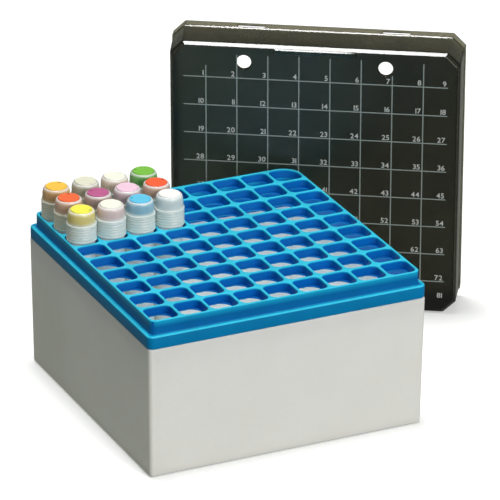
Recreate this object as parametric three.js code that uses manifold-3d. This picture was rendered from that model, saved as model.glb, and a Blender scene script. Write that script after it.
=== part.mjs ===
// Cryogenic storage box: a moulded base, a lift-out tray with a 9 x 9 grid of
// cells, a smoked lid stood on its edge behind the box, and twelve screw-cap
// vials standing in the back left corner of the tray.
//
// Units are millimetres, +Z is up. The origin is the centre of the base's
// underside, +X runs along the front face and +Y towards the back.

import * as THREE from 'three';
import { mergeVertices } from 'three/addons/utils/BufferGeometryUtils.js';
import Module from 'manifold-3d';

const wasm = await Module();
wasm.setup();

// ---------------------------------------------------------------- dimensions
const GRID = 9;                    // cells along each side
const PITCH = 14.1;                // cell to cell

// base
const BASE_H = 60.7;               // height of the moulded base
const BASE_HALF_TOP = 65.8;        // half width at the top edge
const BASE_HALF_FOOT = 65.1;       // half width at the foot (mould draft)
const BASE_R = 2.6;                // radius of the upright corners
const BASE_WALL = 1.6;
const BASE_FLOOR = 1.8;

// tray
const TRAY_GAP = 0.05;             // seam between base and tray
const FLANGE_TOP = 66.6;           // top of the outer flange
const FLANGE_HALF = 66.0;
const FLANGE_R = 3.0;
const FLANGE_KEY_R = 6.0;
const LIP_TOP = 73.0;              // top of the grid
const LIP_HALF = 63.9;
const LIP_R = 3.0;
const LIP_KEY_R = 9.0;             // rounder back right corner, which keys the tray
const SKIRT_HALF = 63.6;           // part of the tray that drops into the base
const SKIRT_BOTTOM = 54.0;
const SKIRT_WALL = 1.2;
const CELL_HALF = 6.375;           // half width of a cell at the grid's top
const CELL_CUT = 1.8;              // corner cut of a cell
const PLATE_TOP = 69.0;            // ledge plate with one round hole in each cell
const PLATE_BOTTOM = 68.2;
const HOLE_FLAT = 6.2;             // centre to flat of the eight-sided hole

// lid, drawn as it lies closed: rim at 0, top plate at LID_H
const LID_H = 22.0;
const LID_TOP_HALF = 66.0;
const LID_WALL_HALF = 66.55;       // wall just above the rim band
const LID_BAND_HALF = 67.0;        // rim band
const LID_BAND_H = 5.6;
const LID_RIM_WALL = 1.0;
const LID_PLATE = 1.2;
const LID_CUT = 5.6;               // 45 degree corner cut
const LID_EDGE = 0.9;              // softened edge between wall and top plate
const VENT_R = 3.4;                // two finger vents in the top plate
const VENT_X = 32.2;
const VENT_Y = 57.4;
const SLOT_W = 13.0;               // two slots through the rim band
const SLOT_H = 2.0;
const SLOT_X = [-30.8, 35.4];
const TAB_W = 37.6;                // finger tab on the top edge
const TAB_D = 2.6;
const TAB_H = 0.5;

// the lid stands on its side wall, leaning on nothing, behind the box
const LID_AT = [75.3, 64.5];       // foot of the top plate's middle
const LID_TURN = THREE.MathUtils.degToRad(-31.7);
const LID_LEAN = Math.atan((LID_BAND_HALF - LID_TOP_HALF) / (LID_H - LID_EDGE - LID_BAND_H));

// vials: heights are above the table
const VIAL_SEG = 12;
const VIAL_FOOT = BASE_FLOOR + 0.1;
const TUBE_R = 6.0;
const TUBE_BORE = 5.05;
const TUBE_SHOULDER = 72.4;
const NECK_R = 5.1;
const NECK_BORE = 4.2;
const NECK_TOP = 84.0;
const SEAL_R = 5.0;
const SEAL_BORE = 3.4;
const SEAL_BOTTOM = 84.05;
const SEAL_TOP = 84.75;
const CAP_BOTTOM = 73.1;
const CAP_R = 6.8;
const CAP_BORE = 5.5;
const CAP_WEB = 84.8;
const CAP_TOP = 87.0;
const INSERT_R = 5.0;
const INSERT_TOP = 87.45;
const INSERT_SEAT = 85.9;

// [column, row] of each vial counted from the left front cell, and its colour
const VIALS = [
  [0, 8, 0xd98a1e], [1, 8, 0xcfc7ae], [2, 8, 0xe6dfc4], [3, 8, 0x2f9a4a],
  [0, 7, 0xe8532c], [1, 7, 0xa32d86], [2, 7, 0xe79ab8], [3, 7, 0xf0602a],
  [0, 6, 0xf1df3c], [1, 6, 0xeae3cf], [2, 6, 0x6fb4de], [3, 6, 0xf4f4f2],
];

// ------------------------------------------------------------------- helpers
function toSolid(geometry) {
  const g = geometry.clone();
  g.deleteAttribute('normal');
  g.deleteAttribute('uv');
  const merged = mergeVertices(g, 1e-5);
  return new wasm.Manifold(new wasm.Mesh({
    numProp: 3,
    vertProperties: new Float32Array(merged.attributes.position.array),
    triVerts: new Uint32Array(merged.index.array),
  }));
}

function toGeometry(solid) {
  const mesh = solid.getMesh();
  const g = new THREE.BufferGeometry();
  const xyz = new Float32Array((mesh.vertProperties.length / mesh.numProp) * 3);
  for (let i = 0, j = 0; i < mesh.vertProperties.length; i += mesh.numProp) {
    xyz[j++] = mesh.vertProperties[i];
    xyz[j++] = mesh.vertProperties[i + 1];
    xyz[j++] = mesh.vertProperties[i + 2];
  }
  g.setAttribute('position', new THREE.BufferAttribute(xyz, 3));
  g.setIndex(new THREE.BufferAttribute(new Uint32Array(mesh.triVerts), 1));
  const flat = g.toNonIndexed();
  flat.computeVertexNormals();
  return flat;
}

// square outline with its own radius at each corner, counted anticlockwise
// from the left front one; steps = 1 gives straight corner cuts
function squareOutline(half, radii, steps = 4) {
  const at = [[-1, -1, Math.PI], [1, -1, 1.5 * Math.PI], [1, 1, 0], [-1, 1, 0.5 * Math.PI]];
  const points = [];
  at.forEach(([sx, sy, start], k) => {
    const r = radii[k];
    for (let i = 0; i <= steps; i++) {
      const a = start + (i / steps) * 0.5 * Math.PI;
      points.push(new THREE.Vector2(sx * (half - r) + r * Math.cos(a), sy * (half - r) + r * Math.sin(a)));
    }
  });
  return new THREE.Shape(points);
}

function slab(shape, z0, z1) {
  const g = new THREE.ExtrudeGeometry(shape, { depth: z1 - z0, bevelEnabled: false, steps: 1 });
  g.translate(0, 0, z0);
  return g;
}

// slab whose outline grows or shrinks evenly from its bottom to its top
function taperedSlab(shape, z0, z1, bottomScale, topScale) {
  const g = slab(shape, z0, z1);
  const p = g.attributes.position;
  for (let i = 0; i < p.count; i++) {
    const t = (p.getZ(i) - z0) / (z1 - z0);
    const k = bottomScale + (topScale - bottomScale) * t;
    p.setX(i, p.getX(i) * k);
    p.setY(i, p.getY(i) * k);
  }
  return g;
}

function lathe(points, segments = VIAL_SEG) {
  const g = new THREE.LatheGeometry(points.map(([r, z]) => new THREE.Vector2(r, z)), segments);
  g.rotateX(Math.PI / 2);
  return g;
}

function block(w, d, h, x, y, z) {
  const g = new THREE.BoxGeometry(w, d, h);
  g.translate(x, y, z);
  return g;
}

const plastic = (color, roughness, extra = {}) =>
  new THREE.MeshStandardMaterial({ color, roughness, metalness: 0, ...extra });

function named(name, solidOrGeometry, material) {
  const geometry = solidOrGeometry.isBufferGeometry ? solidOrGeometry : toGeometry(solidOrGeometry);
  const mesh = new THREE.Mesh(geometry, material);
  mesh.name = name;
  return mesh;
}

const group = new THREE.Group();

// ---------------------------------------------------------------------- base
{
  const outer = toSolid(taperedSlab(squareOutline(BASE_HALF_TOP, [BASE_R, BASE_R, BASE_R, BASE_R]),
    0, BASE_H, BASE_HALF_FOOT / BASE_HALF_TOP, 1));
  const innerHalf = BASE_HALF_TOP - BASE_WALL;
  const r = BASE_R - 1;
  const inner = toSolid(taperedSlab(squareOutline(innerHalf, [r, r, r, r]),
    BASE_FLOOR, BASE_H + 1, BASE_HALF_FOOT / BASE_HALF_TOP, 1));
  group.add(named('base_box', outer.subtract(inner), plastic(0xd6d5d0, 0.55)));
}

// ---------------------------------------------------------------------- tray
{
  const z0 = BASE_H + TRAY_GAP;
  let tray = toSolid(slab(squareOutline(FLANGE_HALF, [FLANGE_R, FLANGE_R, FLANGE_KEY_R, FLANGE_R]), z0, FLANGE_TOP))
    .add(toSolid(slab(squareOutline(LIP_HALF, [LIP_R, LIP_R, LIP_KEY_R, LIP_R]), z0, LIP_TOP)))
    .add(toSolid(slab(squareOutline(SKIRT_HALF, [2.4, 2.4, 2.4, 2.4]), SKIRT_BOTTOM, z0 + 1)));
  const hollow = SKIRT_HALF - SKIRT_WALL;
  tray = tray.subtract(toSolid(slab(squareOutline(hollow, [1.4, 1.4, 6.5, 1.4], 3), SKIRT_BOTTOM - 1, PLATE_BOTTOM)));

  const h = HOLE_FLAT;
  const e = h * Math.tan(Math.PI / 8);
  const holeShape = new THREE.Shape([[h, -e], [h, e], [e, h], [-e, h], [-h, e], [-h, -e], [-e, -h], [e, -h]]
    .map(([x, y]) => new THREE.Vector2(x, y)));
  for (let i = 0; i < GRID; i++) {
    for (let j = 0; j < GRID; j++) {
      const x = (i - (GRID - 1) / 2) * PITCH;
      const y = (j - (GRID - 1) / 2) * PITCH;
      const c = CELL_CUT;
      // the cell at the keyed corner has a wider cut, so its wall stays whole
      const key = i === GRID - 1 && j === GRID - 1 ? 4.6 : c;
      const a = CELL_HALF;
      const cell = new THREE.Shape([[a, -a + c], [a, a - key], [a - key, a], [-a + c, a], [-a, a - c], [-a, -a + c], [-a + c, -a], [a - c, -a]]
        .map(([px, py]) => new THREE.Vector2(px, py)));
      const pocket = slab(cell, PLATE_TOP, LIP_TOP + 1);
      pocket.translate(x, y, 0);
      const hole = slab(holeShape, PLATE_BOTTOM - 0.5, PLATE_TOP + 0.5);
      hole.translate(x, y, 0);
      tray = tray.subtract(toSolid(pocket)).subtract(toSolid(hole));
    }
  }
  group.add(named('grid_tray', tray, plastic(0x0e86c8, 0.35)));
}

// ----------------------------------------------------------------------- lid
{
  const cut = (half, c) => squareOutline(half, [c, c, c, c], 1);
  const band = toSolid(slab(cut(LID_BAND_HALF, LID_CUT), 0, LID_BAND_H));
  const wall = toSolid(taperedSlab(cut(LID_WALL_HALF, LID_CUT), LID_BAND_H - 1, LID_H - LID_EDGE, 1, LID_TOP_HALF / LID_WALL_HALF));
  const top = toSolid(taperedSlab(cut(LID_TOP_HALF, LID_CUT), LID_H - LID_EDGE, LID_H, 1, (LID_TOP_HALF - LID_EDGE * 0.7) / LID_TOP_HALF));
  let lid = band.add(wall).add(top);

  const rimHalf = LID_BAND_HALF - LID_RIM_WALL;
  const innerTop = LID_TOP_HALF - 1.1;
  lid = lid.subtract(toSolid(taperedSlab(cut(rimHalf, LID_CUT - 0.6), -1, LID_H - LID_PLATE, 1, innerTop / rimHalf)));

  // finger tab along the top plate's edge
  lid = lid.add(toSolid(block(TAB_W, TAB_D, TAB_H + 0.2, 0, LID_TOP_HALF - 0.8 - TAB_D / 2, LID_H + TAB_H / 2 - 0.1)));

  // vents and slots
  for (const s of [-1, 1]) {
    const vent = new THREE.CylinderGeometry(VENT_R, VENT_R, 4, 12);
    vent.rotateX(Math.PI / 2);
    vent.translate(s * VENT_X, VENT_Y, LID_H - 0.5);
    lid = lid.subtract(toSolid(vent));
  }
  for (const x of SLOT_X) {
    lid = lid.subtract(toSolid(block(SLOT_W, 4, SLOT_H, x, LID_BAND_HALF, 2.8)));
  }

  const mesh = named('clear_lid', lid, plastic(0x24282a, 0.12, { transparent: true, opacity: 0.85 }));
  // stand it up: the top plate faces the front, its slotted edge is uppermost
  const lean = new THREE.Group();
  mesh.position.set(0, 0, -LID_H);
  lean.add(mesh);
  lean.rotation.set(Math.PI / 2 + LID_LEAN, 0, 0);
  const stand = new THREE.Group();
  stand.add(lean);
  const drop = LID_TOP_HALF * Math.cos(LID_LEAN) - (LID_EDGE * Math.sin(LID_LEAN));
  lean.position.set(0, -LID_TOP_HALF * Math.sin(LID_LEAN), drop + 0.02);
  stand.position.set(LID_AT[0], LID_AT[1], 0);
  stand.rotation.set(0, 0, LID_TURN);
  group.add(stand);
}

// --------------------------------------------------------------------- vials
VIALS.forEach(([column, row, colour], k) => {
  const id = `vial_${String(k + 1).padStart(2, '0')}`;
  const x = (column - (GRID - 1) / 2) * PITCH;
  const y = (row - (GRID - 1) / 2) * PITCH;
  const vial = new THREE.Group();
  vial.position.set(x, y, 0);

  const clear = (opacity) => plastic(0xe9ebe6, 0.35, { transparent: true, opacity });

  vial.add(named(`${id}_tube`, toSolid(lathe([
    [0, VIAL_FOOT + 1.2], [TUBE_BORE, VIAL_FOOT + 1.2], [TUBE_BORE, TUBE_SHOULDER - 1.6], [NECK_BORE, TUBE_SHOULDER],
    [NECK_BORE, NECK_TOP], [NECK_R, NECK_TOP], [NECK_R, TUBE_SHOULDER], [TUBE_R, TUBE_SHOULDER],
    [TUBE_R, VIAL_FOOT + 1], [TUBE_R - 0.9, VIAL_FOOT], [0, VIAL_FOOT],
  ].reverse())), clear(0.55)));

  vial.add(named(`${id}_seal`, toSolid(lathe([
    [SEAL_BORE, SEAL_BOTTOM], [SEAL_R, SEAL_BOTTOM], [SEAL_R, SEAL_TOP], [SEAL_BORE, SEAL_TOP], [SEAL_BORE, SEAL_BOTTOM],
  ])), plastic(0xc9cfd2, 0.7)));

  vial.add(named(`${id}_cap`, toSolid(lathe([
    [0, CAP_WEB], [CAP_BORE, CAP_WEB], [CAP_BORE, CAP_BOTTOM], [CAP_R - 0.25, CAP_BOTTOM], [CAP_R, CAP_BOTTOM + 0.5],
    [CAP_R, CAP_TOP - 4.6], [CAP_R - 0.35, CAP_TOP - 2.6], [CAP_R - 1.3, CAP_TOP], [INSERT_R + 0.1, CAP_TOP], [INSERT_R + 0.1, INSERT_SEAT], [0, INSERT_SEAT],
  ])), clear(0.7)));

  vial.add(named(`${id}_insert`, toSolid(lathe([
    [0, INSERT_SEAT + 0.05], [INSERT_R, INSERT_SEAT + 0.05], [INSERT_R, INSERT_TOP - 0.3], [INSERT_R - 0.3, INSERT_TOP], [0, INSERT_TOP],
  ])), plastic(colour, 0.45)));

  group.add(vial);
});

export default group;
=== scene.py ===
import math

import bmesh
import bpy
from mathutils import Matrix, Vector


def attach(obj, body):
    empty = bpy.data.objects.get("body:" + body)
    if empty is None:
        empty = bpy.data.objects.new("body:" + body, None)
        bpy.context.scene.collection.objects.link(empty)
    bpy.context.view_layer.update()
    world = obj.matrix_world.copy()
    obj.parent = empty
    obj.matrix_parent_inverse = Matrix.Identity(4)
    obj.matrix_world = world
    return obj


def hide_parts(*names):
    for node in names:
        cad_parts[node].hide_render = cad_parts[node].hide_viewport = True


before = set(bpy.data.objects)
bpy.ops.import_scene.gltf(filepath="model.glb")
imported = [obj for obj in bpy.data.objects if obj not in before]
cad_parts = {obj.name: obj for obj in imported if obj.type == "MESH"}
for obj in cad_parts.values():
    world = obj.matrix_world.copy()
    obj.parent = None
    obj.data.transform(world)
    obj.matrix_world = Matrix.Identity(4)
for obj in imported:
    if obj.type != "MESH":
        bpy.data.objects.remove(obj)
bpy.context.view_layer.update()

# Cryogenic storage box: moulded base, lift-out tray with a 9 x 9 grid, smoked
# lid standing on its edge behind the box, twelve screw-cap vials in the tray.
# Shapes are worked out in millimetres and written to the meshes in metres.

scene = bpy.context.scene
MM = 0.001


# ------------------------------------------------------------------ mesh tools
def rounded_ring(half, radii, z, steps=7):
    """Square outline, anticlockwise from the +X side's lower end; radii are
    those of the (+,+), (-,+), (-,-) and (+,-) corners."""
    pts = []
    signs = [(1, 1), (-1, 1), (-1, -1), (1, -1)]
    for k, (sx, sy) in enumerate(signs):
        r = radii[k]
        for i in range(steps + 1):
            a = math.radians(90 * k + 90 * i / steps)
            pts.append((sx * (half - r) + r * math.cos(a), sy * (half - r) + r * math.sin(a), z))
    return pts


def rect_ring(hx, hy, r, z, steps=5, cx=0.0, cy=0.0):
    pts = []
    for k, (sx, sy) in enumerate([(1, 1), (-1, 1), (-1, -1), (1, -1)]):
        for i in range(steps + 1):
            a = math.radians(90 * k + 90 * i / steps)
            pts.append((cx + sx * (hx - r) + r * math.cos(a), cy + sy * (hy - r) + r * math.sin(a), z))
    return pts


def octagon_ring(half, cut, z, fillet=0.8, steps=4):
    """Square with cut corners, each of its eight corners slightly rounded."""
    h, c = half, cut
    corners = [(h, -h + c), (h, h - c), (h - c, h), (-h + c, h), (-h, h - c), (-h, -h + c), (-h + c, -h), (h - c, -h)]
    pts = []
    for k, (x, y) in enumerate(corners):
        a1 = math.radians(45 * (k - 1) + 0)
        if k == 0:
            a1 = math.radians(-45)
        a2 = a1 + math.radians(45)
        mid = (a1 + a2) / 2
        reach = fillet / math.cos(math.radians(22.5))
        cx, cy = x - reach * math.cos(mid), y - reach * math.sin(mid)
        for i in range(steps + 1):
            a = a1 + (a2 - a1) * i / steps
            pts.append((cx + fillet * math.cos(a), cy + fillet * math.sin(a), z))
    return pts


def loft(rings, cap_first=True, cap_last=True):
    n = len(rings[0])
    verts = [p for ring in rings for p in ring]
    faces = []
    for k in range(len(rings) - 1):
        a, b = k * n, (k + 1) * n
        for i in range(n):
            j = (i + 1) % n
            faces.append((a + i, a + j, b + j, b + i))
    if cap_first:
        faces.append(tuple(range(n))[::-1])
    if cap_last:
        faces.append(tuple(range((len(rings) - 1) * n, len(rings) * n)))
    return verts, faces


def lathe(profile, segments=64, cx=0.0, cy=0.0, closed=False, move=None):
    """Turned solid about +Z through (cx, cy). profile is (radius, z) in order;
    a radius of 0 is a single point. closed joins the last ring to the first."""
    verts, faces, rows = [], [], []
    for r, z in profile:
        if r <= 1e-9:
            rows.append([len(verts)])
            verts.append((cx, cy, z))
        else:
            row = []
            for i in range(segments):
                a = 2 * math.pi * i / segments
                x, y, zz = r * math.cos(a), r * math.sin(a), z
                if move:
                    zz = move(x, y, zz)
                row.append(len(verts))
                verts.append((cx + x, cy + y, zz))
            rows.append(row)
    pairs = list(zip(rows, rows[1:]))
    if closed:
        pairs.append((rows[-1], rows[0]))
    for a, b in pairs:
        if len(a) == 1 and len(b) == 1:
            continue
        for i in range(segments):
            j = (i + 1) % segments
            if len(a) == 1:
                faces.append((a[0], b[j], b[i]))
            elif len(b) == 1:
                faces.append((a[i], a[j], b[0]))
            else:
                faces.append((a[i], a[j], b[j], b[i]))
    return verts, faces


def make_object(name, verts, faces, matrix=None, merge=1e-6):
    mesh = bpy.data.meshes.new(name)
    pts = [Vector(v) for v in verts]
    if matrix is not None:
        pts = [matrix @ p for p in pts]
    mesh.from_pydata([tuple(p * MM) for p in pts], [], [tuple(f) for f in faces])
    bm = bmesh.new()
    bm.from_mesh(mesh)
    bmesh.ops.remove_doubles(bm, verts=bm.verts, dist=merge)
    bmesh.ops.recalc_face_normals(bm, faces=bm.faces)
    bm.to_mesh(mesh)
    bm.free()
    obj = bpy.data.objects.new(name, mesh)
    scene.collection.objects.link(obj)
    return obj


def smooth(obj, angle=32.0):
    mesh = obj.data
    mesh.polygons.foreach_set("use_smooth", [True] * len(mesh.polygons))
    mesh.set_sharp_from_angle(angle=math.radians(angle))
    mesh.update()


def finish_piece(obj, material, body, nodes, angle=32.0):
    smooth(obj, angle)
    obj.data.materials.clear()
    obj.data.materials.append(material)
    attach(obj, body)
    if nodes:
        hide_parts(*nodes)


def apply_boolean(obj, cutter, operation):
    mod = obj.modifiers.new("cut", "BOOLEAN")
    mod.operation = operation
    mod.solver = "EXACT"
    mod.object = cutter
    deps = bpy.context.evaluated_depsgraph_get()
    result = bpy.data.meshes.new_from_object(obj.evaluated_get(deps))
    obj.modifiers.clear()
    old = obj.data
    obj.data = result
    result.name = obj.name
    bpy.data.meshes.remove(old)
    cut_mesh = cutter.data
    bpy.data.objects.remove(cutter)
    bpy.data.meshes.remove(cut_mesh)


# ------------------------------------------------------------------- materials
def new_material(name):
    mat = bpy.data.materials.new(name)
    mat.use_nodes = True
    nt = mat.node_tree
    for n in list(nt.nodes):
        nt.nodes.remove(n)
    out = nt.nodes.new("ShaderNodeOutputMaterial")
    bsdf = nt.nodes.new("ShaderNodeBsdfPrincipled")
    nt.links.new(bsdf.outputs["BSDF"], out.inputs["Surface"])
    coord = nt.nodes.new("ShaderNodeTexCoord")
    return mat, nt, bsdf, coord


def noise_node(nt, coord, scale, detail=3.0, rough=0.55):
    n = nt.nodes.new("ShaderNodeTexNoise")
    n.inputs["Scale"].default_value = scale
    n.inputs["Detail"].default_value = detail
    n.inputs["Roughness"].default_value = rough
    nt.links.new(coord.outputs["Object"], n.inputs["Vector"])
    return n


def vary_rough(nt, bsdf, tex, low, high):
    m = nt.nodes.new("ShaderNodeMapRange")
    m.inputs["From Min"].default_value = 0.3
    m.inputs["From Max"].default_value = 0.7
    m.inputs["To Min"].default_value = low
    m.inputs["To Max"].default_value = high
    nt.links.new(tex.outputs["Fac"], m.inputs["Value"])
    nt.links.new(m.outputs["Result"], bsdf.inputs["Roughness"])


def add_bump(nt, bsdf, coord, scale, distance, strength=0.6, detail=4.0):
    n = noise_node(nt, coord, scale, detail)
    b = nt.nodes.new("ShaderNodeBump")
    b.inputs["Strength"].default_value = strength
    b.inputs["Distance"].default_value = distance
    nt.links.new(n.outputs["Fac"], b.inputs["Height"])
    nt.links.new(b.outputs["Normal"], bsdf.inputs["Normal"])
    return b


def mix_colour(nt, fac, a, b):
    """Mix node; fac, a and b are sockets or plain values."""
    m = nt.nodes.new("ShaderNodeMix")
    m.data_type = "RGBA"
    m.blend_type = "MIX"
    for key, value in ((0, fac), (6, a), (7, b)):
        if hasattr(value, "is_linked"):
            nt.links.new(value, m.inputs[key])
        elif key == 0:
            m.inputs[key].default_value = value
        else:
            m.inputs[key].default_value = (*value, 1.0)
    return m.outputs[2]


def base_material():
    mat, nt, bsdf, coord = new_material("base_polypropylene")
    cloud = noise_node(nt, coord, 55.0, 5.0)
    grain = noise_node(nt, coord, 1400.0, 2.0)
    tone = mix_colour(nt, cloud.outputs["Fac"], (0.780, 0.765, 0.735), (0.840, 0.826, 0.796))
    ramp = nt.nodes.new("ShaderNodeMapRange")
    ramp.inputs["From Min"].default_value = 0.35
    ramp.inputs["From Max"].default_value = 0.65
    ramp.inputs["To Min"].default_value = 0.0
    ramp.inputs["To Max"].default_value = 0.16
    nt.links.new(grain.outputs["Fac"], ramp.inputs["Value"])
    tone = mix_colour(nt, ramp.outputs["Result"], tone, (0.70, 0.685, 0.655))
    nt.links.new(tone, bsdf.inputs["Base Color"])
    vary_rough(nt, bsdf, grain, 0.42, 0.56)
    add_bump(nt, bsdf, coord, 2600.0, 0.00004, 0.35)
    bsdf.inputs["Subsurface Weight"].default_value = 1.0
    bsdf.inputs["Subsurface Radius"].default_value = (1.0, 0.97, 0.92)
    bsdf.inputs["Subsurface Scale"].default_value = 0.0025
    bsdf.inputs["IOR"].default_value = 1.49
    # painted glow: an emission read from a vertex attribute lights the box's inner faces
    soak = nt.nodes.new("ShaderNodeAttribute")
    soak.attribute_type = "GEOMETRY"
    soak.attribute_name = "painted_inner_glow"
    nt.links.new(soak.outputs["Color"], bsdf.inputs["Emission Color"])
    bsdf.inputs["Emission Strength"].default_value = 1.0
    return mat


def tray_material():
    mat, nt, bsdf, coord = new_material("tray_blue_polypropylene")
    # the per-vertex tint read here carries painted highlights on the tray's tops and edges and painted shade on the lip
    # front and under the plate
    tint = nt.nodes.new("ShaderNodeAttribute")
    tint.attribute_type = "GEOMETRY"
    tint.attribute_name = "light_and_shade_tint"
    cloud = noise_node(nt, coord, 70.0, 4.0)
    grain = noise_node(nt, coord, 1600.0, 2.0)
    shade = nt.nodes.new("ShaderNodeMapRange")
    shade.inputs["From Min"].default_value = 0.3
    shade.inputs["From Max"].default_value = 0.7
    shade.inputs["To Min"].default_value = 0.90
    shade.inputs["To Max"].default_value = 1.06
    nt.links.new(cloud.outputs["Fac"], shade.inputs["Value"])
    scale = nt.nodes.new("ShaderNodeVectorMath")
    scale.operation = "SCALE"
    nt.links.new(tint.outputs["Color"], scale.inputs[0])
    nt.links.new(shade.outputs["Result"], scale.inputs["Scale"])
    nt.links.new(scale.outputs["Vector"], bsdf.inputs["Base Color"])
    vary_rough(nt, bsdf, grain, 0.34, 0.46)
    add_bump(nt, bsdf, coord, 2200.0, 0.00003, 0.3)
    bsdf.inputs["IOR"].default_value = 1.49
    bsdf.inputs["Specular IOR Level"].default_value = 0.12
    # painted glow: an emission read from a vertex attribute lights the faces under the plate
    soak = nt.nodes.new("ShaderNodeAttribute")
    soak.attribute_type = "GEOMETRY"
    soak.attribute_name = "painted_inner_glow"
    nt.links.new(soak.outputs["Color"], bsdf.inputs["Emission Color"])
    bsdf.inputs["Emission Strength"].default_value = 1.0
    return mat


def lid_material():
    """Smoked clear plastic with a matt moulded face. A painted reflection makes
    the plate greener to the left and browner to the right and gives the side
    walls a streaky brown see-through tone; a painted highlight makes the rim
    band a little lighter."""
    mat, nt, bsdf, coord = new_material("lid_smoked_polycarbonate")
    smear = noise_node(nt, coord, 38.0, 4.0)
    # painted reflection: a left-to-right mask makes the plate greener on the left and browner on the right
    across = nt.nodes.new("ShaderNodeVectorMath")
    across.operation = "DOT_PRODUCT"
    across.inputs[1].default_value = (math.cos(LID_TURN), math.sin(LID_TURN), 0.0)
    nt.links.new(coord.outputs["Object"], across.inputs[0])
    middle = (LID_AT[0] * math.cos(LID_TURN) + LID_AT[1] * math.sin(LID_TURN)) * MM
    side = nt.nodes.new("ShaderNodeMapRange")
    side.interpolation_type = "SMOOTHSTEP"
    side.inputs["From Min"].default_value = middle - 0.012
    side.inputs["From Max"].default_value = middle + 0.030
    nt.links.new(across.outputs["Value"], side.inputs["Value"])
    dark = mix_colour(nt, side.outputs["Result"], (0.0130, 0.0260, 0.0225), (0.0070, 0.0075, 0.0035))
    light = mix_colour(nt, side.outputs["Result"], (0.0200, 0.0350, 0.0310), (0.0110, 0.0115, 0.0060))
    tone = mix_colour(nt, smear.outputs["Fac"], dark, light)
    zone = nt.nodes.new("ShaderNodeAttribute")
    zone.attribute_type = "GEOMETRY"
    zone.attribute_name = "lid_zone"
    parts = nt.nodes.new("ShaderNodeSeparateColor")
    nt.links.new(zone.outputs["Color"], parts.inputs[0])
    streak = noise_node(nt, coord, 24.0, 5.0, 0.7)
    patch = nt.nodes.new("ShaderNodeMapRange")
    patch.inputs["From Min"].default_value = 0.35
    patch.inputs["From Max"].default_value = 0.65
    nt.links.new(streak.outputs["Fac"], patch.inputs["Value"])
    # painted reflection and see-through tone: a streaky brown on the side walls
    wall = mix_colour(nt, patch.outputs["Result"], (0.0100, 0.0100, 0.0045), (0.0300, 0.0290, 0.0170))
    tone = mix_colour(nt, parts.outputs[2], tone, wall)
    # painted highlight: the rim band is mixed towards a lighter colour
    nt.links.new(mix_colour(nt, parts.outputs[1], tone, (0.190, 0.178, 0.120)), bsdf.inputs["Base Color"])
    fine = noise_node(nt, coord, 420.0, 3.0)
    gloss = nt.nodes.new("ShaderNodeMapRange")
    gloss.inputs["From Min"].default_value = 0.3
    gloss.inputs["From Max"].default_value = 0.7
    gloss.inputs["To Min"].default_value = 0.06
    gloss.inputs["To Max"].default_value = 0.11
    nt.links.new(fine.outputs["Fac"], gloss.inputs["Value"])
    matt = nt.nodes.new("ShaderNodeMath")
    matt.operation = "MULTIPLY_ADD"
    nt.links.new(parts.outputs[0], matt.inputs[0])
    matt.inputs[1].default_value = 0.30
    nt.links.new(gloss.outputs["Result"], matt.inputs[2])
    nt.links.new(matt.outputs["Value"], bsdf.inputs["Roughness"])
    add_bump(nt, bsdf, coord, 160.0, 0.00002, 0.15)
    bsdf.inputs["IOR"].default_value = 1.5
    bsdf.inputs["Transmission Weight"].default_value = 0.85
    return mat


def ink_material():
    mat, nt, bsdf, coord = new_material("lid_print_ink")
    wear = noise_node(nt, coord, 900.0, 4.0, 0.7)
    tone = mix_colour(nt, wear.outputs["Fac"], (0.21, 0.255, 0.24), (0.34, 0.385, 0.365))
    bold = mix_colour(nt, wear.outputs["Fac"], (0.42, 0.44, 0.42), (0.66, 0.68, 0.65))
    weight = nt.nodes.new("ShaderNodeAttribute")
    weight.attribute_type = "GEOMETRY"
    weight.attribute_name = "ink_weight"
    nt.links.new(mix_colour(nt, weight.outputs["Fac"], tone, bold), bsdf.inputs["Base Color"])
    vary_rough(nt, bsdf, wear, 0.45, 0.65)
    add_bump(nt, bsdf, coord, 3500.0, 0.00002, 0.4)
    return mat


def natural_material(name, low, high, split):
    """Milky cap plastic: low is its own colour, high the colour that the
    insert gives it near the top, split the heights (mm) between the two.
    A paler band at the top of the crown's shoulder is a painted highlight."""
    mat, nt, bsdf, coord = new_material(name)
    sep = nt.nodes.new("ShaderNodeSeparateXYZ")
    nt.links.new(coord.outputs["Object"], sep.inputs[0])
    rise = nt.nodes.new("ShaderNodeMapRange")
    rise.interpolation_type = "SMOOTHSTEP"
    rise.inputs["From Min"].default_value = split[0] * MM
    rise.inputs["From Max"].default_value = split[1] * MM
    nt.links.new(sep.outputs["Z"], rise.inputs["Value"])
    # painted highlight: the top of the crown's shoulder is mixed towards a pale colour
    brow = nt.nodes.new("ShaderNodeMapRange")
    brow.interpolation_type = "SMOOTHSTEP"
    brow.inputs["From Min"].default_value = 0.0856
    brow.inputs["From Max"].default_value = 0.0869
    nt.links.new(sep.outputs["Z"], brow.inputs["Value"])
    pale = tuple(0.45 * h + 0.55 * 0.86 for h in high)
    base = mix_colour(nt, brow.outputs["Result"], mix_colour(nt, rise.outputs["Result"], low, high), pale)
    cloud = noise_node(nt, coord, 260.0, 4.0)
    weak = nt.nodes.new("ShaderNodeMapRange")
    weak.inputs["From Min"].default_value = 0.35
    weak.inputs["From Max"].default_value = 0.7
    weak.inputs["To Min"].default_value = 0.0
    weak.inputs["To Max"].default_value = 0.22
    nt.links.new(cloud.outputs["Fac"], weak.inputs["Value"])
    dim = tuple(0.80 * c for c in low)
    nt.links.new(mix_colour(nt, weak.outputs["Result"], base, dim), bsdf.inputs["Base Color"])
    grain = noise_node(nt, coord, 1800.0, 2.0)
    vary_rough(nt, bsdf, grain, 0.26, 0.38)
    add_bump(nt, bsdf, coord, 2400.0, 0.00003, 0.25)
    bsdf.inputs["Subsurface Weight"].default_value = 0.85
    bsdf.inputs["Subsurface Radius"].default_value = (1.0, 0.95, 0.88)
    bsdf.inputs["Subsurface Scale"].default_value = 0.0022
    bsdf.inputs["IOR"].default_value = 1.49
    bsdf.inputs["Coat Weight"].default_value = 0.12
    bsdf.inputs["Coat Roughness"].default_value = 0.15
    return mat


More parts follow.
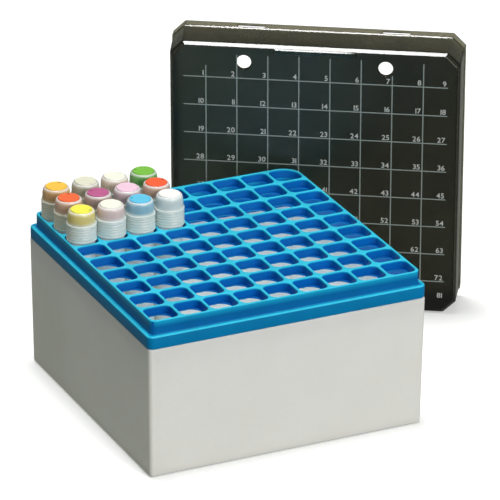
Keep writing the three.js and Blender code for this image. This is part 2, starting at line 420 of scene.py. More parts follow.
def insert_material(name, colour, gate_at, gate_dark):
    mat, nt, bsdf, coord = new_material(name)
    cloud = noise_node(nt, coord, 420.0, 4.0)
    light = tuple(min(1.0, c * 1.03 + 0.004) for c in colour)
    dark = tuple(c * 0.90 for c in colour)
    body = mix_colour(nt, cloud.outputs["Fac"], dark, light)
    # shade in the small gate mark
    away = nt.nodes.new("ShaderNodeVectorMath")
    away.operation = "DISTANCE"
    away.inputs[1].default_value = gate_at
    nt.links.new(coord.outputs["Object"], away.inputs[0])
    near = nt.nodes.new("ShaderNodeMapRange")
    near.inputs["From Min"].default_value = 0.00035
    near.inputs["From Max"].default_value = 0.00085
    near.inputs["To Min"].default_value = gate_dark
    near.inputs["To Max"].default_value = 0.0
    nt.links.new(away.outputs["Value"], near.inputs["Value"])
    nt.links.new(mix_colour(nt, near.outputs["Result"], body, tuple(c * 0.25 for c in colour)), bsdf.inputs["Base Color"])
    bsdf.inputs["Specular IOR Level"].default_value = 0.3
    grain = noise_node(nt, coord, 2600.0, 2.0)
    vary_rough(nt, bsdf, grain, 0.40, 0.52)
    add_bump(nt, bsdf, coord, 3000.0, 0.00003, 0.35)
    bsdf.inputs["IOR"].default_value = 1.49
    return mat


def rubber_material():
    mat, nt, bsdf, coord = new_material("seal_silicone")
    cloud = noise_node(nt, coord, 900.0, 4.0)
    nt.links.new(mix_colour(nt, cloud.outputs["Fac"], (0.48, 0.53, 0.56), (0.60, 0.64, 0.66)), bsdf.inputs["Base Color"])
    vary_rough(nt, bsdf, cloud, 0.6, 0.8)
    add_bump(nt, bsdf, coord, 4000.0, 0.00003, 0.4)
    return mat


def tube_material():
    mat, nt, bsdf, coord = new_material("vial_natural_polypropylene")
    cloud = noise_node(nt, coord, 220.0, 4.0)
    nt.links.new(mix_colour(nt, cloud.outputs["Fac"], (0.66, 0.70, 0.69), (0.80, 0.83, 0.81)), bsdf.inputs["Base Color"])
    vary_rough(nt, bsdf, cloud, 0.25, 0.4)
    add_bump(nt, bsdf, coord, 2000.0, 0.00003, 0.25)
    bsdf.inputs["IOR"].default_value = 1.49
    bsdf.inputs["Subsurface Weight"].default_value = 0.8
    bsdf.inputs["Subsurface Radius"].default_value = (1.0, 0.97, 0.94)
    bsdf.inputs["Subsurface Scale"].default_value = 0.0015
    # painted glow: a faint emission keeps the tubes whitish
    bsdf.inputs["Emission Color"].default_value = (0.9, 1.0, 1.0, 1.0)
    bsdf.inputs["Emission Strength"].default_value = 0.06
    return mat


# ------------------------------------------------------------------------ base
BASE_H, BASE_TOP, BASE_FOOT, BASE_R = 60.7, 65.8, 65.1, 1.7


def base_half(z):
    return BASE_FOOT + (BASE_TOP - BASE_FOOT) * z / BASE_H


def build_base():
    def ring(half, r, z):
        return rounded_ring(half, [r] * 4, z)
    rings = [ring(58.0, 1.0, 0.35), ring(62.0, 1.0, 0.35), ring(62.5, 1.1, 0.0), ring(64.1, 1.3, 0.0)]
    # foot fillet
    for i in range(1, 6):
        a = math.radians(90 * i / 5)
        rings.append(ring(64.2 + 0.9 * math.sin(a), 1.3 + 0.4 * math.sin(a), 0.9 - 0.9 * math.cos(a)))
    for z in (3.0, 15.0, 30.0, 45.0, 58.8):
        rings.append(ring(base_half(z), BASE_R, z))
    rings += [ring(base_half(60.1), BASE_R, 60.1), ring(65.74, 1.68, 60.48), ring(65.6, 1.6, 60.64), ring(65.4, 1.55, 60.7),
              ring(64.75, 1.5, 60.7), ring(64.45, 1.4, 60.6), ring(64.25, 1.3, 60.35), ring(64.2, 1.3, 60.0)]
    for z in (58.5, 45.0, 30.0, 15.0, 5.2):
        rings.append(ring(base_half(z) - 1.6, 1.2, z))
    # inner fillet to the floor
    for i in range(1, 6):
        a = math.radians(90 * i / 5)
        rings.append(ring(base_half(3.0) - 1.6 - 2.4 * (1 - math.cos(a)), 1.2, 4.2 - 2.4 * math.sin(a)))
    rings.append(ring(58.0, 1.2, 1.8))
    verts, faces = loft(rings)
    obj = make_object("base_shell", verts, faces)
    # painted glow: the inner faces of the box get a faint bluish emission
    attr = obj.data.attributes.new("painted_inner_glow", "FLOAT_COLOR", "POINT")
    for v in obj.data.vertices:
        x, y, z = (c / MM for c in v.co)
        inside = 1.6 < z < 60.2 and max(abs(x), abs(y)) < base_half(z) - 1.0
        attr.data[v.index].color = (0.135, 0.155, 0.165, 1.0) if inside else (0.0, 0.0, 0.0, 1.0)
    finish_piece(obj, base_material(), "base", ["base_box"], 40)
    return obj


# ------------------------------------------------------------------------ tray
GRID, PITCH = 9, 14.1
NORMALS = [(1, 0), (0, 1), (-1, 0), (0, -1)]
TANGENTS = [(0, 1), (-1, 0), (0, -1), (1, 0)]
INNER_EDGE = 3.5 * PITCH            # where the outermost row of cells begins
STEPS = 12                          # points along one side of a cell
CELL_HALF = 6.375
PLATE_TOP, PLATE_BOTTOM = 69.0, 68.4
TRAY_TOP = 73.0


def edge_point(q, a, s, half, radii):
    """Point of the tray's outline on side q, in cell a counted anticlockwise,
    at s from -1 to 1 along that cell."""
    rl, rr = radii[(q - 1) % 4], radii[q]
    if a == GRID - 1 and s > 0:
        ang = math.radians(45 * s)
        n, t = half - rr + rr * math.cos(ang), half - rr + rr * math.sin(ang)
    elif a == GRID - 1:
        n, t = half, INNER_EDGE + ((half - rr) - INNER_EDGE) * (s + 1)
    elif a == 0 and s < 0:
        ang = math.radians(-45 * s)
        n, t = half - rl + rl * math.cos(ang), -(half - rl + rl * math.sin(ang))
    elif a == 0:
        n, t = half, -(INNER_EDGE + ((half - rl) - INNER_EDGE) * (1 - s))
    else:
        n, t = half, (a - (GRID - 1) / 2) * PITCH + PITCH / 2 * s
    nx, ny = NORMALS[q]
    tx, ty = TANGENTS[q]
    return n * nx + t * tx, n * ny + t * ty


def outline(half, radii, z):
    pts = []
    for q in range(4):
        for a in range(GRID):
            for k in range(STEPS):
                x, y = edge_point(q, a, -1 + 2 * k / STEPS, half, radii)
                pts.append((x, y, z))
    return pts


def cell_edge(i, j, half, radii, z):
    """Border of cell (i, j)'s tile; tiles at the rim end on the outline."""
    cx, cy = (i - 4) * PITCH, (j - 4) * PITCH
    at_rim = [i == GRID - 1, j == GRID - 1, i == 0, j == 0]
    along = [j, GRID - 1 - i, GRID - 1 - j, i]
    pts = []
    for q in range(4):
        for k in range(STEPS):
            s = -1 + 2 * k / STEPS
            if at_rim[q]:
                x, y = edge_point(q, along[q], s, half, radii)
            elif at_rim[(q - 1) % 4] and k == 0:
                x, y = edge_point((q - 1) % 4, along[(q - 1) % 4], 1.0, half, radii)
            else:
                nx, ny = NORMALS[q]
                tx, ty = TANGENTS[q]
                x = cx + PITCH / 2 * (nx + s * tx)
                y = cy + PITCH / 2 * (ny + s * ty)
                x = max(-half, min(half, x))
                y = max(-half, min(half, y))
            pts.append((x, y, z))
    return pts


def opening(i, j, half, radius, z):
    cx, cy = (i - 4) * PITCH, (j - 4) * PITCH
    key = i == GRID - 1 and j == GRID - 1
    s0 = 1 / 3
    pts = []
    for q in range(4):
        nx, ny = NORMALS[q]
        tx, ty = TANGENTS[q]
        rr, sr = (8.0, 0.0) if key and q == 0 else (radius, s0)
        rl, sl = (8.0, 0.0) if key and q == 1 else (radius, s0)
        for k in range(STEPS):
            s = -1 + 2 * k / STEPS
            if s > sr + 1e-9:
                a = math.radians(45 * (s - sr) / (1 - sr))
                n, t = half - rr + rr * math.cos(a), half - rr + rr * math.sin(a)
            elif s < -sl - 1e-9:
                a = math.radians(45 * (-s - sl) / (1 - sl))
                n, t = half - rl + rl * math.cos(a), -(half - rl + rl * math.sin(a))
            else:
                w = (s + sl) / (sl + sr)
                n, t = half, -(half - rl) + ((half - rr) + (half - rl)) * w
            pts.append((cx + n * nx + t * tx, cy + n * ny + t * ty, z))
    return pts


def round_hole(i, j, r, z, limit, bound=None):
    cx, cy = (i - 4) * PITCH, (j - 4) * PITCH
    pts = []
    for k in range(4 * STEPS):
        q, kk = divmod(k, STEPS)
        a = math.radians(90 * q + 45 * (-1 + 2 * kk / STEPS))
        rk = r
        if limit:
            lx, ly, _ = limit[k]
            rk = min(r, math.hypot(lx - cx, ly - cy) - 0.05)
        x, y = cx + rk * math.cos(a), cy + rk * math.sin(a)
        if bound:
            x = max(-bound, min(bound, x))
            y = max(-bound, min(bound, y))
        pts.append((x, y, z))
    return pts


# colours of the blue plastic: partly its own translucency, the thin ribs passing more light than
# the thick parts, and partly painted light, with painted highlights on the rib tops and edges
# and painted shade on the lip front and deep under the plate
TINT_TOP_HIGHLIGHT = (0.035, 0.520, 0.710)
TINT_EDGE_HIGHLIGHT = (0.006, 0.350, 0.620)
TINT_WALL = (0.001, 0.130, 0.470)
TINT_DEEP_SHADE = (0.001, 0.080, 0.330)
TINT_LIP_SHADE = (0.000, 0.135, 0.390)
TINT_FLANGE = (0.000, 0.195, 0.440)


def tray_tint(x, y, z):
    # painted highlight on rib tops, rim edges and the flange's top edge; painted shade on the lip front and under the
    # plate
    outer = max(abs(x), abs(y))
    if z > 72.85:
        return TINT_TOP_HIGHLIGHT
    if outer > 63.3:
        if z > 72.3:
            return TINT_EDGE_HIGHLIGHT
        if z > 66.75:
            return TINT_LIP_SHADE
        if outer > 65.2 and z > 66.3:
            return TINT_TOP_HIGHLIGHT
        if outer > 64.1 and z > 66.3:
            return TINT_EDGE_HIGHLIGHT
        if z > 60.0:
            return TINT_FLANGE
        return TINT_WALL
    if z > 72.6:
        return TINT_EDGE_HIGHLIGHT
    if z > 68.9:
        return TINT_WALL
    if z > 68.0:
        return TINT_EDGE_HIGHLIGHT
    return TINT_DEEP_SHADE


def build_tray():
    top_r = [8.6, 3.2, 3.2, 3.2]
    under_r = [4.5, 1.6, 1.6, 1.6]
    verts, faces = [], []

    def add(rings):
        n = len(rings[0])
        base = len(verts)
        for ring in rings:
            verts.extend(ring)
        for k in range(len(rings) - 1):
            a, b = base + k * n, base + (k + 1) * n
            for m in range(n):
                p = (m + 1) % n
                faces.append((a + m, a + p, b + p, b + m))

    for i in range(GRID):
        for j in range(GRID):
            wall = opening(i, j, CELL_HALF - 0.10, 2.95, PLATE_TOP)
            rings = [
                cell_edge(i, j, 63.45, top_r, TRAY_TOP),
                opening(i, j, CELL_HALF + 0.34, 3.2, TRAY_TOP),
                opening(i, j, CELL_HALF + 0.27, 3.16, TRAY_TOP - 0.02),
                opening(i, j, CELL_HALF + 0.09, 3.06, TRAY_TOP - 0.12),
                opening(i, j, CELL_HALF, 3.0, TRAY_TOP - 0.36),
                opening(i, j, CELL_HALF - 0.02, 3.0, TRAY_TOP - 1.0),
                opening(i, j, CELL_HALF - 0.05, 3.0, PLATE_TOP + 0.5),
                opening(i, j, CELL_HALF - 0.06, 3.0, PLATE_TOP + 0.15),
                opening(i, j, CELL_HALF - 0.08, 2.95, PLATE_TOP + 0.03),
                wall,
                round_hole(i, j, 6.24, PLATE_TOP, wall),
                round_hole(i, j, 6.18, PLATE_TOP - 0.05, wall),
                round_hole(i, j, 6.17, PLATE_TOP - 0.16, wall, 62.30),
                round_hole(i, j, 6.22, PLATE_TOP - 0.26, wall, 62.32),
                round_hole(i, j, 6.75, PLATE_BOTTOM, wall, 62.36),
                cell_edge(i, j, 62.45, under_r, PLATE_BOTTOM),
            ]
            add(rings)

    def rim(half, key, r, z):
        return outline(half, [key, r, r, r], z)
    shell = [
        rim(63.45, 8.6, 3.2, 73.0), rim(63.62, 8.7, 3.1, 72.97), rim(63.80, 8.85, 3.02, 72.86), rim(63.88, 8.95, 3.0, 72.66),
        rim(63.90, 9.0, 3.0, 72.35), rim(63.90, 9.0, 3.0, 70.0), rim(63.92, 9.0, 3.0, 67.2), rim(63.98, 9.0, 3.0, 66.84),
        rim(64.12, 8.9, 3.0, 66.68), rim(64.35, 8.7, 3.0, 66.61), rim(65.30, 6.4, 3.0, 66.60), rim(65.62, 6.2, 3.0, 66.55),
        rim(65.88, 6.05, 3.0, 66.38), rim(66.0, 6.0, 3.0, 66.05), rim(66.0, 6.0, 3.0, 61.3), rim(65.93, 6.0, 3.0, 60.98),
        rim(65.70, 5.9, 2.9, 60.79), rim(65.45, 5.8, 2.8, 60.75), rim(63.95, 5.6, 2.5, 60.75), rim(63.75, 5.5, 2.4, 60.68),
        rim(63.62, 5.5, 2.4, 60.4), rim(63.60, 5.5, 2.4, 60.0), rim(63.50, 5.5, 2.4, 54.5), rim(63.40, 5.4, 2.3, 54.15),
        rim(63.15, 5.2, 2.1, 54.0), rim(62.85, 4.9, 1.9, 54.0), rim(62.58, 4.6, 1.7, 54.12), rim(62.5, 4.5, 1.6, 54.4),
        rim(62.45, 4.5, 1.6, 66.6), rim(62.45, 4.5, 1.6, PLATE_BOTTOM),
    ]
    add(shell)
    obj = make_object("tray_grid", verts, faces, merge=2e-6)
    # per-vertex tint with painted highlights and painted shade
    attr = obj.data.attributes.new("light_and_shade_tint", "FLOAT_COLOR", "POINT")
    for v in obj.data.vertices:
        c = tray_tint(v.co.x / MM, v.co.y / MM, v.co.z / MM)
        attr.data[v.index].color = (*c, 1.0)
    # painted glow: a faint blue emission on the faces under the tray's plate
    attr = obj.data.attributes.new("painted_inner_glow", "FLOAT_COLOR", "POINT")
    for v in obj.data.vertices:
        x, y, z = (c / MM for c in v.co)
        inside = z < 68.2 and max(abs(x), abs(y)) < 62.9
        attr.data[v.index].color = (0.0, 0.070, 0.230, 1.0) if inside else (0.0, 0.0, 0.0, 1.0)
    finish_piece(obj, tray_material(), "tray", ["grid_tray"], 38)
    return obj


# ------------------------------------------------------------------------- lid
LID_H, LID_TOP, LID_WALL, LID_BAND, LID_BAND_H, LID_CUT = 22.0, 66.0, 66.55, 67.0, 5.6, 5.6
LID_EDGE = 0.9
TAB_TOP, TAB_D = 1.0, 2.7
LID_AT, LID_TURN = (75.3, 64.5), math.radians(-31.7)
LID_LEAN = math.atan((LID_BAND - LID_TOP) / (LID_H - LID_EDGE - LID_BAND_H))
LID_MATRIX = (
    Matrix.Translation((LID_AT[0], LID_AT[1], 0)) @ Matrix.Rotation(LID_TURN, 4, "Z")
    @ Matrix.Translation((0, -LID_TOP * math.sin(LID_LEAN), LID_TOP * math.cos(LID_LEAN) - LID_EDGE * math.sin(LID_LEAN) + 0.02))
    @ Matrix.Rotation(math.pi / 2 + LID_LEAN, 4, "X") @ Matrix.Translation((0, 0, -LID_H))
)
LINES = [(k - 3.5) * 14.13 for k in range(8)]
LINE_TOPS = [55.15, 61.05, 61.1, 61.5, 61.2, 61.4, 54.1, 60.9]
LINE_LEFT, LINE_RIGHT = -59.7, 60.5


def build_lid():
    def ring(half, z, cut=LID_CUT, fillet=0.8):
        return octagon_ring(half, cut, z, fillet)
    rings = [ring(58.0, LID_H, fillet=0.5), ring(64.4, LID_H, fillet=0.6), ring(64.7, LID_H, fillet=0.65), ring(64.84, LID_H - 0.02, fillet=0.65),
             ring(64.95, LID_H - 0.09, fillet=0.7), ring(65.01, LID_H - 0.194, fillet=0.7), ring(65.88, LID_H - 1.696, fillet=0.7),
             ring(65.94, LID_H - 1.80, fillet=0.7), ring(66.0, LID_H - 1.98, fillet=0.75)]
    rings += [
        ring(LID_TOP + 0.06, LID_H - 2.5), ring(LID_WALL - 0.02, LID_BAND_H + 1.0), ring(LID_WALL, LID_BAND_H + 0.3),
        ring(LID_WALL + 0.1, LID_BAND_H + 0.06), ring(LID_BAND - 0.33, LID_BAND_H), ring(LID_BAND - 0.30, LID_BAND_H - 0.04),
        ring(LID_BAND - 0.28, LID_BAND_H - 0.08), ring(LID_BAND - 0.03, LID_BAND_H - 0.51), ring(LID_BAND - 0.01, LID_BAND_H - 0.56), ring(LID_BAND, LID_BAND_H - 0.66), ring(LID_BAND, 0.8), ring(LID_BAND, 0.3), ring(LID_BAND - 0.08, 0.08), ring(LID_BAND - 0.3, 0.0),
        ring(LID_BAND - 0.75, 0.0, LID_CUT - 0.4), ring(LID_BAND - 0.95, 0.08, LID_CUT - 0.5), ring(66.0, 0.3, LID_CUT - 0.6),
        ring(65.95, 1.0, LID_CUT - 0.6), ring(64.98, 19.2, LID_CUT - 0.6), ring(64.9, 19.9, LID_CUT - 0.6), ring(64.72, 20.4, LID_CUT - 0.6, 0.7),
        ring(64.4, 20.7, LID_CUT - 0.6, 0.6), ring(64.0, 20.8, LID_CUT - 0.6, 0.5), ring(60.0, 20.8, LID_CUT - 0.6, 0.5),
    ]
    verts, faces = loft(rings)
    lid = make_object("lid_shell", verts, faces)

    # finger tab on the plate's upper edge
    tab_rings = []
    y_low = LID_TOP - TAB_TOP - TAB_D
    for side, hi, lo, r, z in ((0.0, 0.0, 0.0, 0.5, 21.7), (0.0, 0.0, 0.0, 0.5, 22.06), (0.02, 0.02, 0.01, 0.45, 22.08), (0.04, 0.045, 0.02, 0.45, 22.12), (0.44, 0.445, 0.16, 0.4, 22.81),
                              (0.47, 0.475, 0.19, 0.4, 22.86), (0.54, 0.55, 0.30, 0.35, 22.90), (0.9, 0.9, 0.6, 0.3, 22.91)):
        top, low = LID_TOP - TAB_TOP - hi, y_low + lo
        tab_rings.append(rect_ring(18.8 - side, (top - low) / 2, r, z, 5, 0.0, (top + low) / 2))
    v, f = loft(tab_rings)
    apply_boolean(lid, make_object("tab_tool", v, f), "UNION")

    # two vents through the plate, each with a softened rim
    for s in (-1, 1):
        profile = [(0, 19.5), (3.3, 19.5), (3.3, 21.15), (3.32, 21.2), (3.78, 21.97), (3.84, 22.03), (3.84, 23.2), (0, 23.2)]
        v, f = lathe(profile, 48, s * 32.2, 57.4)
        apply_boolean(lid, make_object("vent_tool", v, f), "DIFFERENCE")
    # two slots through the rim band
    for x in (-30.8, 35.4):
        slot = [rect_ring(6.5, 1.65, 0.9, t, 5) for t in (-3.0, 3.0)]
        v, f = loft(slot)
        v = [(p[0] + x, LID_BAND + p[2], p[1] + 2.8) for p in v]
        apply_boolean(lid, make_object("slot_tool", v, f), "DIFFERENCE")

    bm = bmesh.new()
    bm.from_mesh(lid.data)
    bmesh.ops.remove_doubles(bm, verts=bm.verts, dist=1e-7)
    bmesh.ops.recalc_face_normals(bm, faces=bm.faces)
    bm.verts.index_update()
    # channels: plate face (matt), rim band (painted highlight), side walls (painted reflection and see-through tone)
    zones = {}
    for v in bm.verts:
        x, y, z = (c / MM for c in v.co)
        on_face = 1.0 if LID_H - 0.01 < z < LID_H + 0.01 and max(abs(x), abs(y)) < 64.75 else 0.0
        rim = 1.0 if z < LID_BAND_H + 0.5 else 0.0
        side_wall = 1.0 if z < LID_H - 0.02 else 0.0
        zones[v.index] = (on_face, rim, side_wall, 1.0)
    place = Matrix.Scale(MM, 4) @ LID_MATRIX @ Matrix.Scale(1 / MM, 4)
    bmesh.ops.transform(bm, matrix=place, verts=bm.verts)
    bm.to_mesh(lid.data)
    bm.free()
    attr = lid.data.attributes.new("lid_zone", "FLOAT_COLOR", "POINT")
    for v in lid.data.vertices:
        attr.data[v.index].color = zones[v.index]
    finish_piece(lid, lid_material(), "lid", ["clear_lid"], 30)
    return lid


def digit_meshes():
    out = {}
    for ch in "0123456789":
        cu = bpy.data.curves.new("digit_" + ch, "FONT")
        cu.body = ch
        cu.size = 1.0
        cu.extrude = 0.01
        cu.offset = 0.012
        cu.resolution_u = 3
        ob = bpy.data.objects.new("digit_" + ch, cu)
        scene.collection.objects.link(ob)
        deps = bpy.context.evaluated_depsgraph_get()
        me = ob.evaluated_get(deps).to_mesh()
        vs = [tuple(v.co) for v in me.vertices]
        fs = [tuple(p.vertices) for p in me.polygons]
        ob.evaluated_get(deps).to_mesh_clear()
        bpy.data.objects.remove(ob)
        bpy.data.curves.remove(cu)
        out[ch] = (vs, fs)
    return out


def build_print():
    """Grid lines and cell numbers on the lid's face, 0.05 mm proud."""
    verts, faces = [], []
    bottom, top = LID_H - 0.02, LID_H + 0.05

    def bar(x0, x1, y0, y1, lift=0.0):
        k = len(verts)
        b = 0.02
        for z, inset in ((bottom, 0.0), (top - b + lift, 0.0), (top + lift, b)):
            verts.extend([(x0 + inset, y0 + inset, z), (x1 - inset, y0 + inset, z), (x1 - inset, y1 - inset, z), (x0 + inset, y1 - inset, z)])
        for level in range(2):
            a, c = k + 4 * level, k + 4 * level + 4
            for m in range(4):
                p = (m + 1) % 4
                faces.append((a + m, a + p, c + p, c + m))
        faces.append((k + 3, k + 2, k + 1, k))
        faces.append((k + 8, k + 9, k + 10, k + 11))

    w = 0.26
    for k, x in enumerate(LINES):
        bar(x - w, x + w, LINES[0] - w, LINE_TOPS[k])
    for y in LINES:
        bar(LINE_LEFT, LINE_RIGHT, y - w, y + w, 0.01)
    lines_end = len(verts)
    digits = digit_meshes()
    tall = max(v[1] for v in digits["8"][0]) - min(v[1] for v in digits["8"][0])
    size = 2.6 / tall
    gap = 0.30
    for n in range(1, 82):
        row, col = divmod(n - 1, GRID)
        right = LINES[col] - 1.0 if col < 8 else LINE_RIGHT - 0.7
        base_y = LINES[7 - row] + 0.7 if row < 8 else -56.6 - 2.6 * 0.5
        x = right
        for ch in reversed(str(n)):
            vs, fs = digits[ch]
            lo = min(v[0] for v in vs)
            hi = max(v[0] for v in vs)
            floor_y = min(v[1] for v in vs)
            k = len(verts)
            for vx, vy, vz in vs:
                verts.append((x - (hi - vx) * size, base_y + (vy - floor_y) * size, bottom if vz < 0 else top))
            faces.extend([tuple(k + m for m in f) for f in fs])
            x -= (hi - lo) * size + gap
    obj = make_object("lid_grid_print", verts, faces, LID_MATRIX, merge=1e-8)
    attr = obj.data.attributes.new("ink_weight", "FLOAT", "POINT")
    for v in obj.data.vertices:
        attr.data[v.index].value = 0.0 if v.index < lines_end else 1.0
    finish_piece(obj, ink_material(), "lid", [], 30)
    return obj


# ----------------------------------------------------------------------- vials
NATURAL = (0.70, 0.76, 0.72)
NATURAL_WARM = (0.74, 0.72, 0.62)
# column, row, insert colour, colour it gives the cap's crown, lower cap colour, gate mark
VIALS = [
    (0, 8, (0.930, 0.560, 0.070), (0.640, 0.370, 0.150), NATURAL_WARM, (2.6, 3.0)),
    (1, 8, (0.760, 0.750, 0.600), (0.500, 0.480, 0.390), NATURAL_WARM, (1.0, -3.2)),
    (2, 8, (0.900, 0.900, 0.780), (0.760, 0.600, 0.500), NATURAL, (3.4, 2.0)),
    (3, 8, (0.200, 0.520, 0.060), (0.120, 0.400, 0.080), NATURAL, (-2.8, 2.8)),
    (0, 7, (0.880, 0.150, 0.045), (0.640, 0.400, 0.290), NATURAL_WARM, (1.5, 3.8)),
    (1, 7, (0.500, 0.110, 0.270), (0.440, 0.330, 0.310), NATURAL_WARM, (-2.4, 2.9)),
    (2, 7, (0.880, 0.600, 0.740), (0.620, 0.470, 0.520), NATURAL, (2.2, -3.0)),
    (3, 7, (0.930, 0.120, 0.040), (0.620, 0.400, 0.300), NATURAL, (3.5, 1.6)),
    (0, 6, (0.900, 0.850, 0.090), (0.760, 0.610, 0.200), NATURAL, (3.0, -2.4)),
    (1, 6, (0.900, 0.900, 0.780), (0.740, 0.560, 0.530), NATURAL, (-3.4, -1.8)),
    (2, 6, (0.120, 0.560, 0.820), (0.260, 0.480, 0.600), NATURAL, (-3.3, 2.2)),
    (3, 6, (0.920, 0.925, 0.900), (0.640, 0.720, 0.710), NATURAL, (2.9, 2.7)),
]
CAP_R = 6.8


def cap_profile():
    p = [(0.0, 84.8), (3.2, 84.8), (5.3, 84.8), (5.45, 84.7), (5.5, 84.5)]
    # inner thread, drawn as shallow rings
    for z in (82.6, 80.4, 78.2, 76.0):
        p += [(5.5, z + 0.55), (5.36, z + 0.3), (5.36, z - 0.1), (5.5, z - 0.35)]
    p += [(5.5, 73.6), (5.62, 73.25), (5.8, 73.1), (6.45, 73.1), (6.68, 73.16), (CAP_R - 0.02, 73.34), (CAP_R, 73.55), (CAP_R - 0.03, 74.0), (6.68, 74.15)]
    # five soft rings round the lower part
    z0, dz = 74.2, 1.25
    for k in range(5):
        z = z0 + dz * k
        p += [(6.52, z + 0.05), (6.50, z + 0.18), (6.57, z + 0.35), (6.69, z + 0.58), (6.72, z + 0.78), (6.68, z + 1.00), (6.57, z + 1.17)]
    # step under the crown
    p += [(6.60, 80.46), (6.72, 80.56), (6.76, 80.74), (6.74, 80.98), (6.64, 81.10), (6.46, 81.20), (6.34, 81.34), (6.27, 81.6), (6.22, 82.3)]
    # rounded shoulder
    cx, cz, ra, rb = 5.16, 83.2, 1.03, 3.75
    for i in range(0, 11):
        a = math.radians(90 * i / 10)
        p.append((cx + ra * math.cos(a) ** 0.9, cz + rb * math.sin(a)))
    p[-1] = (5.14, 86.96)
    p += [(5.04, 87.0), (4.96, 86.97), (4.92, 86.85), (4.92, 86.05), (4.88, 85.93), (4.75, 85.9), (0.0, 85.9)]
    return clean_profile(p)


def clean_profile(p):
    out = [p[0]]
    for q in p[1:]:
        if abs(q[0] - out[-1][0]) > 1e-6 or abs(q[1] - out[-1][1]) > 1e-6:
            out.append(q)
    return out


def insert_profile():
    p = [(0.0, 85.95), (3.0, 85.95), (4.65, 85.95), (4.78, 86.0), (4.83, 86.12), (4.83, 87.05), (4.81, 87.22), (4.73, 87.37), (4.60, 87.44), (4.46, 87.45), (4.36, 87.41), (4.28, 87.36)]
    r = 4.1
    while r > 0.3:
        p.append((r, 87.34))
        r -= 0.3
    p.append((0.0, 87.34))
    return p


TUBE = [
    (0.0, 3.4), (2.0, 3.2), (4.2, 3.3), (4.85, 4.1), (5.05, 5.2), (5.05, 40.0), (5.05, 70.6), (4.95, 71.1), (4.3, 72.2), (4.2, 72.5), (4.2, 83.7),
    (4.25, 83.93), (4.4, 84.0), (4.9, 84.0), (5.04, 83.94), (5.1, 83.75), (5.1, 83.0), (5.24, 82.7), (5.24, 82.3), (5.1, 82.0), (5.1, 80.8),
    (5.24, 80.5), (5.24, 80.1), (5.1, 79.8), (5.1, 78.6), (5.24, 78.3), (5.24, 77.9), (5.1, 77.6), (5.1, 72.7), (5.14, 72.48), (5.3, 72.4),
    (5.7, 72.4), (5.9, 72.32), (5.96, 72.1), (5.96, 40.0), (5.96, 4.2), (5.85, 3.2), (5.5, 2.4), (5.1, 1.98), (4.9, 1.9), (4.1, 1.9), (3.8, 2.1), (0.0, 2.1),
]
SEAL = [(3.42, 84.12), (3.5, 84.06), (4.3, 84.06), (4.88, 84.06), (4.98, 84.14), (4.98, 84.64), (4.88, 84.73), (4.4, 84.74), (4.2, 84.68), (4.0, 84.74), (3.5, 84.74), (3.42, 84.66)]


def build_vials():
    rubber, tube_mat = rubber_material(), tube_material()
    cap_line, insert_line = cap_profile(), insert_profile()
    for k, (col, row, colour, crown, low, gate) in enumerate(VIALS):
        tag = f"vial_{k + 1:02d}"
        cx, cy = (col - 4) * PITCH, (row - 4) * PITCH
        v, f = lathe(TUBE, 48, cx, cy)
        finish_piece(make_object(tag + "_body", v, f), tube_mat, tag, [tag + "_tube"], 35)
        v, f = lathe(SEAL, 48, cx, cy, closed=True)
        finish_piece(make_object(tag + "_ring", v, f), rubber, tag + "_seal", [tag + "_seal"], 35)
        v, f = lathe(cap_line, 72, cx, cy)
        cap_mat = natural_material(tag + "_cap_plastic", low, crown, (80.8, 83.0))
        finish_piece(make_object(tag + "_screwcap", v, f), cap_mat, tag + "_cap", [tag + "_cap"], 40)

        def dimple(x, y, z, g=gate):
            if z < 87.2:
                return z
            d = math.hypot(x - g[0], y - g[1])
            return z - 0.42 * max(0.0, 1 - (d / 0.75) ** 2)
        spot = ((cx + gate[0]) * MM, (cy + gate[1]) * MM, 0.0871)
        faint = 0.25 if min(colour) > 0.55 else 0.85
        v, f = lathe(insert_line, 72, cx, cy, move=dimple)
        finish_piece(make_object(tag + "_disc", v, f), insert_material(tag + "_disc_plastic", colour, spot, faint), tag + "_cap",
                     [tag + "_insert"], 40)


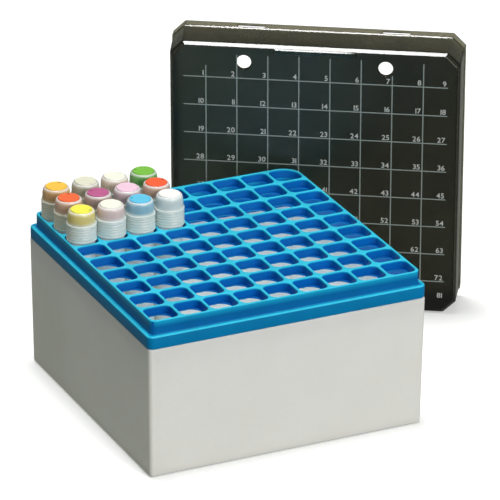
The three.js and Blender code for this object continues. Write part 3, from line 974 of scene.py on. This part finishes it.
# ----------------------------------------------------------- camera and studio
def build_camera():
    f_px, yaw, el, roll = 4565.69475, 0.442801727, 0.419316829, 0.00738012317
    tx, ty, tz = 11.4950892, 62.7098798, 2035.57953
    r = Vector((math.cos(yaw), -math.sin(yaw), 0))
    fwd = Vector((math.sin(yaw) * math.cos(el), math.cos(yaw) * math.cos(el), -math.sin(el)))
    up = r.cross(fwd)
    r2 = math.cos(roll) * r + math.sin(roll) * up
    u2 = -math.sin(roll) * r + math.cos(roll) * up
    at = (tx * r2 + ty * u2 - tz * fwd) * MM
    cam = bpy.data.cameras.new("camera")
    cam.sensor_width = 36.0
    cam.lens = 36.0 * f_px / 500.0
    cam.clip_start = 0.05
    cam.clip_end = 200.0
    obj = bpy.data.objects.new("camera", cam)
    m = Matrix((r2, u2, -fwd)).transposed().to_4x4()
    m.translation = at
    obj.matrix_world = m
    scene.collection.objects.link(obj)
    scene.camera = obj


def area_light(name, at, target, size, power, colour=(1, 1, 1)):
    data = bpy.data.lights.new(name, "AREA")
    data.shape = "SQUARE"
    data.size = size
    data.energy = power
    data.color = colour
    obj = bpy.data.objects.new(name, data)
    at, target = Vector(at), Vector(target)
    obj.matrix_world = Matrix.Translation(at) @ (target - at).to_track_quat("-Z", "Y").to_matrix().to_4x4()
    scene.collection.objects.link(obj)
    return obj


def build_studio():
    world = bpy.data.worlds.new("studio")
    world.use_nodes = True
    bg = world.node_tree.nodes.get("Background") or world.node_tree.nodes.new("ShaderNodeBackground")
    bg.inputs["Color"].default_value = (0.95, 1.0, 0.90, 1.0)
    bg.inputs["Strength"].default_value = 0.24
    scene.world = world
    area_light("overhead", (-0.036, 0.165, 1.71), (0.03, 0.02, 0.06), 0.50, 20.0)
    area_light("key", (0.30, -1.82, 0.90), (0.0, 0.0, 0.05), 1.0, 27.0)

    mesh = bpy.data.meshes.new("floor")
    s = 6.0
    mesh.from_pydata([(-s, -s, -0.0002), (s, -s, -0.0002), (s, s, -0.0002), (-s, s, -0.0002)], [], [(0, 1, 2, 3)])
    floor = bpy.data.objects.new("floor", mesh)
    scene.collection.objects.link(floor)
    mat = bpy.data.materials.new("floor_paper")
    mat.use_nodes = True
    bsdf = mat.node_tree.nodes["Principled BSDF"]
    bsdf.inputs["Base Color"].default_value = (0.93, 0.93, 0.93, 1.0)
    bsdf.inputs["Roughness"].default_value = 0.9
    bsdf.inputs["Specular IOR Level"].default_value = 0.0
    bsdf.inputs["Emission Color"].default_value = (1, 1, 1, 1)
    bsdf.inputs["Emission Strength"].default_value = 0.25
    mesh.materials.append(mat)
    floor.visible_diffuse = False
    floor.visible_glossy = False

    scene.view_settings.view_transform = "Standard"
    scene.view_settings.look = "None"


build_camera()
build_base()
build_tray()
build_lid()
build_print()
build_vials()
build_studio()

bpy.context.view_layer.update()
